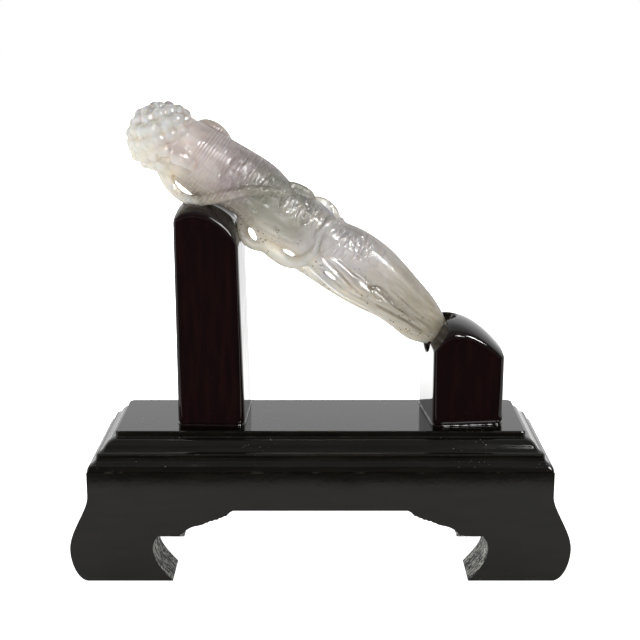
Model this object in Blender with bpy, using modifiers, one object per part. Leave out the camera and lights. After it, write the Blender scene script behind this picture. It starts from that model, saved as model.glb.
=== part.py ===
"""Jadeite ginseng carving on its lacquered wooden stand.

Four pieces: the base with its moulded top and hoof feet, a tall and a short
post glued on it, and the jade root that lies across the two posts.
Metres, +Z up. The origin is under the middle of the base, on the table.
"""
import math

import bmesh
import bpy
from mathutils import Matrix, Vector

# Base, one block of wood
BASE_LENGTH = 0.1253          # over the apron, left to right
BASE_DEPTH = 0.0427           # front to back
BASE_HEIGHT = 0.0406          # table to the flat top plate
APRON_HEIGHT = 0.0312         # table to the foot of the moulding
PLATE_INSET = 0.0069          # plate edge inside the apron, all round
CORNER_RADIUS = 0.0012        # worn corners, seen from above

# Feet and the sawn arches between them
FOOT_WIDTH = 0.0187           # apron end to the lip of the arch
FOOT_DEPTH = 0.0131           # front to back
FOOT_BULGE = 0.0053           # how far a foot stands out past the apron
BULGE_HEIGHT = 0.0091
BULGE_START = 0.0245
TOE_ROUND = 0.0044            # toe drawn in under the bulge
TOE_REACH = 0.0037            # inner toe past the lip, towards the middle
INNER_HOLLOW = 0.0015         # hollow of a foot's inner side
LIP_HEIGHT = 0.0131
LIP_LENGTH = 0.0046
SHOULDER_REACH = 0.0110       # lip to the soft shoulder of the arch
SHOULDER_HEIGHT = 0.0161
CUSP_REACH = 0.0186
CUSP_HEIGHT = 0.0189
ARCH_REACH = 0.0204
ARCH_HEIGHT = 0.0204
SIDE_ARCH_SPRING = 0.0080
SIDE_ARCH_HEIGHT = 0.0150

# Posts
TALL_POST_WIDTH = 0.0184
SHORT_POST_WIDTH = 0.0196
POST_DEPTH = 0.0232
POST_SET_BACK = 0.0015        # post centres behind the middle of the base
POST_CORNER = 0.0020
POST_FOOT_ROUND = 0.0009
TALL_POST_X = -0.0296
TALL_POST_HEIGHT = 0.0610     # plate to the top of the dome
TALL_POST_TURN = -2.0         # degrees about the upright
TALL_POST_TAPER = 0.0014      # inner face leans in towards the top
SHORT_POST_X = 0.03935
SHORT_POST_HEIGHT = 0.0284
SHORT_POST_TURN = 6.0
SHORT_POST_TAPER = 0.0
GLUE_GAP = 0.0003             # clearance between touching pieces

# Domed tops: how far the top falls towards each side
TALL_FALL_DEPTH = 0.0032      # to the front and back faces
TALL_FALL_OUTER = 0.0040
TALL_FALL_INNER = 0.0115
TALL_CROWN_SHARE = 0.30       # highest line, as a share of the width
TALL_CROWN_ROUND = 1.0        # 1 is a round shoulder, 0 a slope that steepens evenly
SHORT_FALL_DEPTH = 0.0038
SHORT_FALL_OUTER = 0.0077
SHORT_FALL_INNER = 0.0033
SHORT_CROWN_SHARE = 0.31
SHORT_CROWN_ROUND = 0.0

# Carving. Its members are drawn in units, DRAWN_LENGTH units from end to end
CARVING_LENGTH = 0.107
DRAWN_LENGTH = 107.0
TIP_STATION = 96.1            # units from the head's centre to the tip
TIP_REACH = 0.0061            # tip past the inner face of the short post
TIP_DEPTH = 0.0080            # tip below the top of the short post
SEAT_RISE = 7.44              # units from the tall post's top to the axis
SEAT_GAP = 0.4                # units left round the carving in its seats
VOXEL = 0.00065
CARVING_FACES = 0.135         # share of faces kept after remeshing

BEAD_COUNT = 74
HEAD_CENTRE = (-0.4, -0.3, 0.0)
HEAD_RADIUS = 8.0
BEAD_RADIUS = 2.1

# Members of the root, as (along, up, back, radius) stations in units
TRUNK = [(1, 0.5, 0, 7.0), (5, 0.7, 0, 8.0), (10, 1.2, 0, 8.6), (16, 1.3, 0, 9.1),
         (22, 2.4, 0, 8.6), (28, 2.7, 0, 8.6), (33, 1.7, 0, 8.6), (38, 1.5, 0, 8.3),
         (44, 2.7, 0, 7.7), (50, 2.4, 0, 7.7), (56, 3.2, 0, 7.2)]
MAIN_LEG = [(50, 2.6, 0, 7.2), (55, 3.7, 0, 6.9), (60, 4.7, 0, 6.9), (66, 5.0, 0, 6.7),
            (72, 4.6, 0, 6.1), (78, 4.0, 0, 5.3), (84, 3.2, 0, 4.6), (89, 2.0, 0, 3.7),
            (93, 0.9, 0, 2.5), (95.3, 0.4, 0, 1.2)]
FRONT_LEG = [(50, -1.0, -3.4, 4.0), (56, -1.6, -4.0, 4.3), (63, -2.3, -3.9, 4.0),
             (70, -1.8, -3.4, 3.6), (78, -1.5, -2.5, 3.2), (86, -1.3, -1.5, 2.7),
             (92, -0.6, -0.6, 1.8)]
BACK_LEG = [(50, -0.5, 3.4, 4.2), (58, -0.6, 4.0, 4.4), (66, -0.4, 3.8, 4.1),
            (75, -0.3, 3.0, 3.6), (84, -0.6, 2.0, 3.0), (92, -0.4, 0.7, 1.9)]
LOWER_LEG = [(46, -6.9, 0.5, 1.9), (52, -6.4, 0.2, 2.0), (58, -6.2, 0, 1.9),
             (64, -5.8, 0, 1.9), (70, -4.9, 0, 2.0), (75, -3.7, 0, 2.2),
             (80, -3.2, 0, 2.5), (86, -3.2, 0, 2.6), (91, -1.8, 0, 2.0)]
UPPER_ROOTLET = [(2.8, -5.2, -4.5, 2.0), (5.6, -7.4, -4.2, 1.8), (8.4, -9.0, -3.9, 1.6),
                 (11.2, -9.8, -3.8, 1.4), (13.8, -9.6, -4.2, 1.4),
                 (16.8, -8.0, -5.4, 1.5), (19.8, -4.9, -6.9, 1.5), (22.6, -1.4, -8.2, 1.5),
                 (26.0, 2.6, -8.9, 1.4), (30.6, 5.6, -8.0, 1.3), (35.0, 7.0, -6.6, 1.1)]
BAND = [(51.6, 10.2, -1.0, 0.9), (50.2, 9.2, -4.0, 1.1), (48.6, 7.4, -5.9, 1.2),
        (48.4, 4.6, -7.2, 1.2), (49.0, 2.2, -7.5, 1.2), (49.8, -0.6, -7.2, 1.3),
        (49.6, -3.6, -5.8, 1.5), (48.2, -6.2, -4.2, 1.7), (45.4, -7.6, -3.0, 1.9),
        (42.0, -7.7, -2.4, 2.1), (38.6, -7.2, -2.2, 2.2), (35.4, -6.0, -2.6, 2.2),
        (32.0, -4.2, -3.4, 2.0)]
LITTLE_ROOTLET = [(29.0, -5.4, -2.6, 1.3), (31.0, -7.6, -3.0, 1.2), (33.1, -9.3, -3.2, 1.1),
                  (35.6, -9.5, -3.0, 1.3), (38.4, -8.2, -2.6, 1.6)]
STUB = [(32.6, 7.6, -1.5, 1.2), (35.0, 9.6, -1.4, 1.3), (38.0, 10.3, -1.0, 1.5),
        (40.6, 10.3, -0.6, 1.4), (42.2, 9.2, -0.2, 1.0)]
LEAF = [(4.6, -1.8, -6.9, 1.6), (6.4, -1.4, -7.1, 2.3), (8.4, -1.0, -7.2, 2.0),
        (10.4, -0.9, -7.6, 1.3), (12.2, -0.8, -8.3, 0.5)]
MEMBERS = [TRUNK, MAIN_LEG, FRONT_LEG, BACK_LEG, LOWER_LEG, UPPER_ROOTLET, BAND,
           LITTLE_ROOTLET, STUB, LEAF]

# Groove in the tall post, a round bed for the trunk. The rootlets get a notch each
GROOVE = [(4, 1.2, 0, 9.2), (12, 1.4, 0, 9.5), (18, 1.7, 0, 9.7), (24, 2.4, 0, 9.3),
          (30, 2.4, 0, 9.3), (37, 2.0, 0, 9.3)]

# Flat lobes, as (centre, half sizes, turn in degrees)
LOBES = [((10.4, 7.0, 2.8), (6.2, 4.3, 3.0), -4),
         ((46.8, 7.4, 4.6), (6.0, 4.5, 1.8), -8)]

# See-through slits, as (centre, half sizes, turn in degrees), drilled downwards a little
SLITS = [((34.1, -7.4, -1.0), (1.9, 0.65, 10.0), -24),
         ((45.0, -5.1, -1.0), (2.4, 0.8, 10.0), 8),
         ((57.2, -4.6, 0.0), (3.2, 0.8, 10.0), -4)]
SLIT_SLOPE = 12.0

# Seat of the tip in the short post: the corner is sawn off square to the root, and a round
# channel with a slot above it is sunk there, as (units before the tip, up, back, radius)
CHANNEL = [(12.0, -0.2, 0, 6.6), (6.5, -0.2, 0, 6.0), (3.2, 0.0, 0, 5.2), (1.4, 0.2, 0, 4.2),
           (0.4, 0.3, 0, 2.8), (-0.5, 0.4, 0, 1.0)]
SLOT = [(14.0, 4.0, 0, 5.0), (7.0, 4.0, 0, 5.0), (4.4, 4.0, 0, 4.6), (3.0, 4.0, 0, 3.6),
        (2.2, 4.0, 0, 1.8)]
SAWN_CORNER = [(24.0, 6.0, -3.4, 21.0), (6.4, 6.0, 0, 21.0)]


def clear_scene():
    for old in list(bpy.data.objects):
        bpy.data.objects.remove(old, do_unlink=True)


def new_collection(name):
    collection = bpy.data.collections.new(name)
    bpy.context.scene.collection.children.link(collection)
    return collection


def new_material(name, colour, roughness, coat=0.0):
    material = bpy.data.materials.new(name)
    material.use_nodes = True
    shader = material.node_tree.nodes["Principled BSDF"]
    shader.inputs["Base Color"].default_value = (*colour, 1.0)
    shader.inputs["Roughness"].default_value = roughness
    shader.inputs["Metallic"].default_value = 0.0
    shader.inputs["Coat Weight"].default_value = coat
    material.diffuse_color = (*colour, 1.0)
    return material


def mesh_object(name, mesh, collection):
    part = bpy.data.objects.new(name, mesh)
    collection.objects.link(part)
    return part


def curve_to_mesh(curve_object, name):
    """Turn a curve object into a closed mesh in world place, and drop the curve."""
    graph = bpy.context.evaluated_depsgraph_get()
    mesh = bpy.data.meshes.new_from_object(curve_object.evaluated_get(graph))
    mesh.name = name
    mesh.transform(curve_object.matrix_world)
    bpy.data.objects.remove(curve_object, do_unlink=True)
    shape = bmesh.new()
    shape.from_mesh(mesh)
    bmesh.ops.remove_doubles(shape, verts=shape.verts, dist=1e-6)
    bmesh.ops.recalc_face_normals(shape, faces=shape.faces)
    shape.to_mesh(mesh)
    shape.free()
    return mesh


def bezier(start, pull_start, pull_end, end, steps):
    """Points along a cubic curve, without its first point."""
    points = []
    for index in range(1, steps + 1):
        u = index / steps
        v = 1.0 - u
        weights = (v ** 3, 3 * v * v * u, 3 * v * u * u, u ** 3)
        corners = (start, pull_start, pull_end, end)
        points.append(tuple(sum(w * c[k] for w, c in zip(weights, corners)) for k in (0, 1)))
    return points


def flat_board(name, outline, thickness, turn):
    """A flat outline drawn in XZ, extruded along Y and turned about Z."""
    curve = bpy.data.curves.new(name, "CURVE")
    curve.dimensions = "2D"
    curve.fill_mode = "BOTH"
    curve.extrude = thickness / 2
    spline = curve.splines.new("POLY")
    spline.points.add(len(outline) - 1)
    for point, (x, z) in zip(spline.points, outline):
        point.co = (x, z, 0.0, 1.0)
    spline.use_cyclic_u = True
    board = bpy.data.objects.new(name, curve)
    bpy.context.scene.collection.objects.link(board)
    upright = Matrix.Rotation(math.pi / 2, 4, "X")
    board.matrix_world = Matrix.Rotation(turn, 4, "Z") @ upright
    bpy.context.view_layer.update()
    return curve_to_mesh(board, name)


def rounded_rectangle(half_x, half_y, radius, steps=3):
    """Corner-rounded rectangle, anticlockwise, with the same point count for any size."""
    points = []
    for corner, (side_x, side_y) in enumerate([(1, 1), (-1, 1), (-1, -1), (1, -1)]):
        for index in range(steps + 1):
            angle = math.pi / 2 * (corner + index / steps)
            x = side_x * (half_x - radius) + radius * math.cos(angle)
            y = side_y * (half_y - radius) + radius * math.sin(angle)
            points.append((x, y))
    return points


def ring_loft(name, rings, peak=None):
    """Skin a stack of rings that have equal point counts, closed at both ends.

    A peak, where given, closes the top with a fan of triangles.
    """
    shape = bmesh.new()
    loops = [[shape.verts.new(point) for point in ring] for ring in rings]
    count = len(loops[0])
    for lower, upper in zip(loops, loops[1:]):
        for index in range(count):
            following = (index + 1) % count
            shape.faces.new((lower[index], lower[following], upper[following], upper[index]))
    shape.faces.new(list(reversed(loops[0])))
    if peak:
        tip = shape.verts.new(peak)
        for index in range(count):
            shape.faces.new((loops[-1][index], loops[-1][(index + 1) % count], tip))
    else:
        shape.faces.new(loops[-1])
    bmesh.ops.recalc_face_normals(shape, faces=shape.faces)
    mesh = bpy.data.meshes.new(name)
    shape.to_mesh(mesh)
    shape.free()
    return mesh


def add_boolean(part, other, operation):
    modifier = part.modifiers.new(operation.title(), "BOOLEAN")
    modifier.operation = operation
    modifier.object = other
    modifier.solver = "EXACT"


def hide_cutter(cutter):
    cutter.hide_render = True
    cutter.display_type = "WIRE"


def base_outline():
    """Front outline of the apron and feet, right half mirrored to the left."""
    half = BASE_LENGTH / 2
    lip = half - FOOT_WIDTH
    bulge = half + FOOT_BULGE
    toe = (bulge - TOE_ROUND, 0.0)
    inner_toe = (lip - TOE_REACH, 0.0)
    hollow = (lip + INNER_HOLLOW, BULGE_HEIGHT)
    fall = BULGE_START - BULGE_HEIGHT
    inner_rise = LIP_HEIGHT - BULGE_HEIGHT
    inner_run = TOE_REACH + INNER_HOLLOW
    right = [(half, APRON_HEIGHT), (half, BULGE_START)]
    right += bezier(right[-1], (half, BULGE_START - fall * 0.26),
                    (bulge, BULGE_HEIGHT + fall * 0.35), (bulge, BULGE_HEIGHT), 9)
    right += bezier(right[-1], (bulge, BULGE_HEIGHT * 0.55),
                    (toe[0] + TOE_ROUND * 0.6, BULGE_HEIGHT * 0.06), toe, 6)
    right.append(inner_toe)
    right += bezier(inner_toe, (inner_toe[0] + inner_run * 0.38, BULGE_HEIGHT * 0.26),
                    (hollow[0], BULGE_HEIGHT * 0.62), hollow, 6)
    right += bezier(hollow, (hollow[0], BULGE_HEIGHT + inner_rise * 0.45),
                    (lip + INNER_HOLLOW * 0.6, LIP_HEIGHT - inner_rise * 0.22),
                    (lip, LIP_HEIGHT), 3)
    lip_end = (lip - LIP_LENGTH, LIP_HEIGHT)
    shoulder = (lip - SHOULDER_REACH, SHOULDER_HEIGHT)
    run = SHOULDER_REACH - LIP_LENGTH
    rise = SHOULDER_HEIGHT - LIP_HEIGHT
    right.append(lip_end)
    right += bezier(lip_end, (lip_end[0] - run * 0.40, LIP_HEIGHT),
                    (shoulder[0] + run * 0.62, SHOULDER_HEIGHT - rise * 0.17), shoulder, 6)
    right.append((lip - CUSP_REACH, CUSP_HEIGHT))
    right.append((lip - (CUSP_REACH + ARCH_REACH) / 2, (CUSP_HEIGHT + 2 * ARCH_HEIGHT) / 3))
    right.append((lip - ARCH_REACH, ARCH_HEIGHT))
    return right + [(-x, z) for x, z in reversed(right)]


def side_arch_outline():
    """Arch through the ends of the base, drawn below the table line to cut clean."""
    half = BASE_DEPTH / 2 - FOOT_DEPTH
    below = -FOOT_BULGE
    rise = SIDE_ARCH_HEIGHT - SIDE_ARCH_SPRING
    right = [(half, below), (half, SIDE_ARCH_SPRING)]
    right += bezier(right[-1], (half, SIDE_ARCH_SPRING + rise * 0.71),
                    (half * 0.6, SIDE_ARCH_HEIGHT), (0.0, SIDE_ARCH_HEIGHT), 6)
    return right + [(-x, z) for x, z in reversed(right[:-1])]


def moulding_profile():
    """(inset, height) pairs from inside the apron up to the plate."""
    rise = BASE_HEIGHT - APRON_HEIGHT
    shares = [(0.16, -0.30), (0.16, 0.00), (0.02, 0.02), (0.03, 0.12), (0.08, 0.18),
              (0.19, 0.22), (0.28, 0.28), (0.33, 0.36), (0.35, 0.45), (0.42, 0.49),
              (0.53, 0.53), (0.61, 0.61), (0.70, 0.70), (0.80, 0.77), (0.95, 0.82),
              (1.00, 0.84), (1.00, 0.96), (1.05, 1.00)]
    return [(PLATE_INSET * inset, APRON_HEIGHT + rise * height) for inset, height in shares]


def build_base(collection, cutters, wood):
    board = flat_board("stand_base", base_outline(), BASE_DEPTH, 0.0)
    base = mesh_object("stand_base", board, collection)
    rings = []
    for inset, height in moulding_profile():
        ring = rounded_rectangle(BASE_LENGTH / 2 - inset, BASE_DEPTH / 2 - inset, CORNER_RADIUS)
        rings.append([(x, y, height) for x, y in ring])
    moulding = mesh_object("moulding", ring_loft("moulding", rings), cutters)
    length = BASE_LENGTH + 4 * FOOT_BULGE
    arch_mesh = flat_board("side_arch", side_arch_outline(), length, math.pi / 2)
    arch = mesh_object("side_arch", arch_mesh, cutters)
    for tool, operation in ((moulding, "UNION"), (arch, "DIFFERENCE")):
        hide_cutter(tool)
        add_boolean(base, tool, operation)
    base.data.materials.append(wood)
    return base


def dome_drop(offset, reach, fall, roundness=1.0):
    """Fall of a domed top at a distance from its highest line."""
    share = min(abs(offset) / reach, 1.0)
    rounded = 1.0 - math.sqrt(1.0 - share * share)
    return fall * (roundness * rounded + (1.0 - roundness) * share * share)


def post_mesh(name, width, height, taper, crown_share, roundness, falls):
    """A rounded block with a top that is domed both ways, standing on Z = 0.

    The taper leans the +X side in towards the top.
    """
    fall_left, fall_right, fall_depth = falls
    half_x = width / 2
    half_y = POST_DEPTH / 2
    crown_x = -half_x + width * crown_share

    def top(x, y):
        left = x < crown_x
        reach = crown_x + half_x if left else half_x - crown_x
        fall = fall_left if left else fall_right
        side_drop = dome_drop(x - crown_x, reach, fall, roundness)
        return height - side_drop - dome_drop(y, half_y, fall_depth)

    def leant(x, y, z):
        return (x - taper * (x + half_x) / width * z / height, y, z)

    rings = []
    for inset, z in ((POST_FOOT_ROUND, 0.0), (POST_FOOT_ROUND * 0.3, POST_FOOT_ROUND * 0.3),
                     (0.0, POST_FOOT_ROUND)):
        ring = post_plan(half_x - inset, half_y - inset, POST_CORNER)
        rings.append([leant(x, y, z) for x, y in ring])
    for share in (1.0, 0.985, 0.94, 0.86, 0.74, 0.58, 0.38, 0.18):
        ring = post_plan(half_x, half_y, POST_CORNER)
        pulled = [(crown_x * (1 - share) + x * share, y * share) for x, y in ring]
        rings.append([leant(x, y, top(x, y)) for x, y in pulled])
    return ring_loft(name, rings, leant(crown_x, 0.0, height))


def post_plan(half_x, half_y, radius):
    """Rounded rectangle with extra points along its sides, for a smooth dome."""
    corners = rounded_rectangle(half_x, half_y, radius)
    points = []
    for index, point in enumerate(corners):
        points.append(point)
        following = corners[(index + 1) % len(corners)]
        if index % 4 == 3:
            for share in (0.2, 0.4, 0.6, 0.8):
                points.append(tuple(a + (b - a) * share for a, b in zip(point, following)))
    return points


def carving_frame():
    """Tip, axis, up direction and unit of the carving, from the posts that hold it."""
    unit = CARVING_LENGTH / DRAWN_LENGTH
    floor = BASE_HEIGHT + GLUE_GAP
    seat = Vector((TALL_POST_X, 0.0, floor + TALL_POST_HEIGHT + SEAT_RISE * unit))
    tip = Vector((SHORT_POST_X - SHORT_POST_WIDTH / 2 + TIP_REACH, 0.0,
                  floor + SHORT_POST_HEIGHT - TIP_DEPTH))
    axis = (tip - seat).normalized()
    up = Vector((-axis.z, 0.0, axis.x))
    return tip, axis, up, unit


def place(along, above, back):
    """World point of a place given in the carving's own units."""
    tip, axis, up, unit = carving_frame()
    point = tip + axis * ((along - TIP_STATION) * unit) + up * (above * unit)
    return point + Vector((0.0, POST_SET_BACK + back * unit, 0.0))


def smooth_stations(stations, steps=4):
    """Stations read from a smooth curve that passes through the given ones."""
    padded = [stations[0]] + list(stations) + [stations[-1]]
    result = [stations[0]]
    for a, b, c, d in zip(padded, padded[1:], padded[2:], padded[3:]):
        for index in range(1, steps + 1):
            u = index / steps
            result.append(tuple(
                0.5 * (2 * q + (r - p) * u + (2 * p - 5 * q + 4 * r - s) * u * u
                       + (3 * q - p - 3 * r + s) * u ** 3)
                for p, q, r, s in zip(a, b, c, d)))
    return result


def member_mesh(name, stations, extra=0.0):
    """A round member of the root as a closed tube that swells and tapers."""
    unit = carving_frame()[3]
    curve = bpy.data.curves.new(name, "CURVE")
    curve.dimensions = "3D"
    curve.bevel_depth = unit
    curve.bevel_resolution = 4
    curve.use_fill_caps = True
    spline = curve.splines.new("POLY")
    points = smooth_stations(stations)
    spline.points.add(len(points) - 1)
    for point, (along, above, back, radius) in zip(spline.points, points):
        point.co = (*place(along, above, back), 1.0)
        point.radius = radius + extra
    tube = bpy.data.objects.new(name, curve)
    bpy.context.scene.collection.objects.link(tube)
    bpy.context.view_layer.update()
    return curve_to_mesh(tube, name)


def ellipsoid(shape, centre, sizes, turn, slope):
    """Add a ball with its own half sizes along, above and back, in units."""
    axis, up, unit = carving_frame()[1:]
    made = bmesh.ops.create_uvsphere(shape, u_segments=16, v_segments=10, radius=1.0)
    angle = math.radians(turn)
    along = axis * math.cos(angle) + up * math.sin(angle)
    above = up * math.cos(angle) - axis * math.sin(angle)
    back = Vector((0.0, math.cos(math.radians(slope)), -math.sin(math.radians(slope))))
    middle = place(*centre)
    for vert in made["verts"]:
        x, y, z = vert.co
        offset = along * (x * sizes[0]) + back * (y * sizes[2]) + above * (z * sizes[1])
        vert.co = middle + offset * unit


def head_beads():
    """Bead centres and radii spread evenly over the head, open towards the trunk."""
    golden = math.pi * (3.0 - math.sqrt(5.0))
    beads = []
    for index in range(BEAD_COUNT):
        height = 1.0 - 2.0 * (index + 0.5) / BEAD_COUNT
        round_part = math.sqrt(1.0 - height * height)
        along = -height
        above = round_part * math.cos(golden * index)
        back = round_part * math.sin(golden * index)
        if along > 0.52:
            continue
        centre = [c + HEAD_RADIUS * d for c, d in zip(HEAD_CENTRE, (along, above, back))]
        beads.append((centre, BEAD_RADIUS * (1.0 + 0.10 * math.sin(2.3 * index))))
    return beads


def join_meshes(name, meshes):
    shape = bmesh.new()
    for mesh in meshes:
        shape.from_mesh(mesh)
        bpy.data.meshes.remove(mesh)
    joined = bpy.data.meshes.new(name)
    shape.to_mesh(joined)
    shape.free()
    return joined


def balls_mesh(name, balls, slope=0.0):
    shape = bmesh.new()
    for centre, sizes, turn in balls:
        ellipsoid(shape, centre, sizes, turn, slope)
    bmesh.ops.recalc_face_normals(shape, faces=shape.faces)
    mesh = bpy.data.meshes.new(name)
    shape.to_mesh(mesh)
    shape.free()
    return mesh


def freeze(part):
    """Swap a part's mesh for the one its modifiers make, without loose crumbs."""
    graph = bpy.context.evaluated_depsgraph_get()
    mesh = bpy.data.meshes.new_from_object(part.evaluated_get(graph))
    part.modifiers.clear()
    part.data = mesh
    shape = bmesh.new()
    shape.from_mesh(mesh)
    waiting = set(shape.verts)
    bodies = []
    while waiting:
        front = [waiting.pop()]
        body = list(front)
        while front:
            near = {edge.other_vert(vert) for vert in front for edge in vert.link_edges}
            front = list(near & waiting)
            waiting.difference_update(front)
            body.extend(front)
        bodies.append(body)
    bodies.sort(key=len)
    for crumb in bodies[:-1]:
        bmesh.ops.delete(shape, geom=crumb, context="VERTS")
    shape.to_mesh(mesh)
    shape.free()


def build_carving(collection, cutters, jade):
    meshes = [member_mesh(f"member_{index}", member) for index, member in enumerate(MEMBERS)]
    beads = [(centre, (radius, radius, radius), 0.0) for centre, radius in head_beads()]
    core = [(HEAD_CENTRE, (HEAD_RADIUS, HEAD_RADIUS, HEAD_RADIUS), 0.0)]
    meshes.append(balls_mesh("balls", beads + core + LOBES))
    carving = mesh_object("ginseng_carving", join_meshes("ginseng_carving", meshes), collection)
    remesh = carving.modifiers.new("Fuse", "REMESH")
    remesh.mode = "VOXEL"
    remesh.voxel_size = VOXEL
    reduce = carving.modifiers.new("Reduce", "DECIMATE")
    reduce.ratio = CARVING_FACES
    slits = mesh_object("slits", balls_mesh("slits", SLITS, SLIT_SLOPE), cutters)
    hide_cutter(slits)
    add_boolean(carving, slits, "DIFFERENCE")
    freeze(carving)
    carving.data.materials.clear()
    carving.data.materials.append(jade)
    return carving


def seat_cutters(cutters):
    """Closed shapes that cut the groove of the tall post and the seat of the short one."""
    shapes = [("groove", GROOVE, 0.0), ("rootlet_notch", UPPER_ROOTLET, SEAT_GAP),
              ("little_notch", LITTLE_ROOTLET, SEAT_GAP)]
    for name, seat in (("channel", CHANNEL), ("slot", SLOT), ("sawn_corner", SAWN_CORNER)):
        stations = [(TIP_STATION - before, *rest) for before, *rest in seat]
        shapes.append((name, stations, 0.0))
    made = []
    for name, stations, extra in shapes:
        cutter = mesh_object(name, member_mesh(name, stations, extra), cutters)
        hide_cutter(cutter)
        made.append(cutter)
    return made[:3], made[3:]


def build_post(mesh, x, turn, tools, collection, wood):
    post = mesh_object(mesh.name, mesh, collection)
    post.location = (x, POST_SET_BACK, BASE_HEIGHT + GLUE_GAP)
    post.rotation_euler = (0.0, 0.0, math.radians(turn))
    for tool in tools:
        add_boolean(post, tool, "DIFFERENCE")
    post.data.materials.append(wood)
    return post


def main():
    clear_scene()
    collection = new_collection("jadeite_ginseng_carving")
    cutters = new_collection("cutters")
    jade = new_material("pale_jadeite", (0.62, 0.60, 0.56), 0.18, 0.3)
    post_wood = new_material("post_lacquer", (0.010, 0.006, 0.006), 0.14, 1.0)
    base_wood = new_material("base_lacquer", (0.020, 0.019, 0.017), 0.22, 0.8)
    groove_tools, tip_tools = seat_cutters(cutters)
    build_base(collection, cutters, base_wood)
    tall = post_mesh("tall_post", TALL_POST_WIDTH, TALL_POST_HEIGHT, TALL_POST_TAPER,
                     TALL_CROWN_SHARE, TALL_CROWN_ROUND,
                     (TALL_FALL_OUTER, TALL_FALL_INNER, TALL_FALL_DEPTH))
    short = post_mesh("short_post", SHORT_POST_WIDTH, SHORT_POST_HEIGHT, SHORT_POST_TAPER,
                      SHORT_CROWN_SHARE, SHORT_CROWN_ROUND,
                      (SHORT_FALL_INNER, SHORT_FALL_OUTER, SHORT_FALL_DEPTH))
    build_post(tall, TALL_POST_X, TALL_POST_TURN, groove_tools, collection, post_wood)
    build_post(short, SHORT_POST_X, SHORT_POST_TURN, tip_tools, collection, post_wood)
    build_carving(collection, cutters, jade)


main()
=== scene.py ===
# %% [markdown]
# # A jadeite ginseng carving on its lacquered stand
# The ornament has four pieces: a root carved from one pale stone, two posts that it lies
# across, and a base with hoof feet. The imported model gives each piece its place. This
# script makes the same pieces again with the fine forms, and gives them their finish.

# %% Load the frame and measure it
import math

import bmesh
import bpy
import numpy as np
from mathutils import Matrix, Vector

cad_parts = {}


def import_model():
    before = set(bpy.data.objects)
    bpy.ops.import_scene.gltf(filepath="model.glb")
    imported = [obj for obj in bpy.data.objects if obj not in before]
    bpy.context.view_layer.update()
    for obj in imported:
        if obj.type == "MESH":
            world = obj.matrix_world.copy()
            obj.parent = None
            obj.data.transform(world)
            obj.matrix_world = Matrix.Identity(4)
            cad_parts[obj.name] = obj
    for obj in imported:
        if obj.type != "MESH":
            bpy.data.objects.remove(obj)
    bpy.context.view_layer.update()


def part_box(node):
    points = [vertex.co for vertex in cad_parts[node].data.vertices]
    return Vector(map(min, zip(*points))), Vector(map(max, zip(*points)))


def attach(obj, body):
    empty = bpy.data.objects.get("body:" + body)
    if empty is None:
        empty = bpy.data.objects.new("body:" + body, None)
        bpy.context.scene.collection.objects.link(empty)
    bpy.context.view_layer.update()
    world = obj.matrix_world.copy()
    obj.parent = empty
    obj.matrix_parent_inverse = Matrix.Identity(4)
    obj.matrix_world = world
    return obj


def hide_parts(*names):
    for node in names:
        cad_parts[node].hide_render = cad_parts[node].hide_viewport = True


MM = 0.001
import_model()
base_low, base_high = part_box("stand_base")
print("base, mm:", [round(v / MM, 1) for v in base_high - base_low])

# %% [markdown]
# ## Small helpers
# Every piece goes through the same few steps, so each step is written once: link a mesh
# as an object, make its modifiers real, join shells, cut, skin and soften them, and draw
# a smooth line through a few chosen stations. A Catmull-Rom curve passes through its
# stations, which makes them easy to place.

# %% Helpers for pieces and meshes


def add_object(name, mesh):
    piece = bpy.data.objects.new(name, mesh)
    bpy.context.scene.collection.objects.link(piece)
    return piece


def settle(piece):
    """Swap a piece's mesh for what its modifiers make of it."""
    graph = bpy.context.evaluated_depsgraph_get()
    mesh = bpy.data.meshes.new_from_object(piece.evaluated_get(graph))
    piece.modifiers.clear()
    piece.data = mesh
    return piece


def as_mesh(name, shape, turn_outwards=True):
    """Write a bmesh out as a mesh, and let it go."""
    if turn_outwards:
        bmesh.ops.recalc_face_normals(shape, faces=shape.faces)
    mesh = bpy.data.meshes.new(name)
    shape.to_mesh(mesh)
    shape.free()
    return mesh


def join_meshes(name, meshes):
    shape = bmesh.new()
    for mesh in meshes:
        shape.from_mesh(mesh)
    return as_mesh(name, shape, turn_outwards=False)


def remove(*pieces):
    for piece in pieces:
        bpy.data.objects.remove(piece, do_unlink=True)


def cut_away(piece, name, tool):
    cut = piece.modifiers.new(name, "BOOLEAN")
    cut.operation = "DIFFERENCE"
    cut.solver = "EXACT"
    cut.object = tool


def voxel_skin(piece, name, size):
    """Turn overlapping or cut shells into one even skin."""
    skin = piece.modifiers.new(name, "REMESH")
    skin.mode = "VOXEL"
    skin.voxel_size = size


def soften(piece, name, rounds, group=""):
    smooth = piece.modifiers.new(name, "SMOOTH")
    smooth.factor = 0.5
    smooth.iterations = rounds
    smooth.vertex_group = group


# %% Helpers for lines and points


def smooth_line(stations, steps=5):
    """Rows on a smooth curve that passes through the given rows."""
    rows = np.array(stations, float)
    rows = np.vstack([rows[:1], rows, rows[-1:]])
    u = np.linspace(0, 1, steps, endpoint=False)[:, None]
    parts = [0.5 * (2 * b + (c - a) * u + (2 * a - 5 * b + 4 * c - d) * u ** 2
                    + (3 * b - a - 3 * c + d) * u ** 3)
             for a, b, c, d in zip(rows, rows[1:], rows[2:], rows[3:])]
    return np.vstack(parts + [rows[-1:]])


def positions(mesh):
    points = np.empty(len(mesh.vertices) * 3)
    mesh.vertices.foreach_get("co", points)
    return points.reshape(-1, 3)


def set_positions(mesh, points):
    mesh.vertices.foreach_set("co", points.ravel())
    mesh.update()


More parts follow.
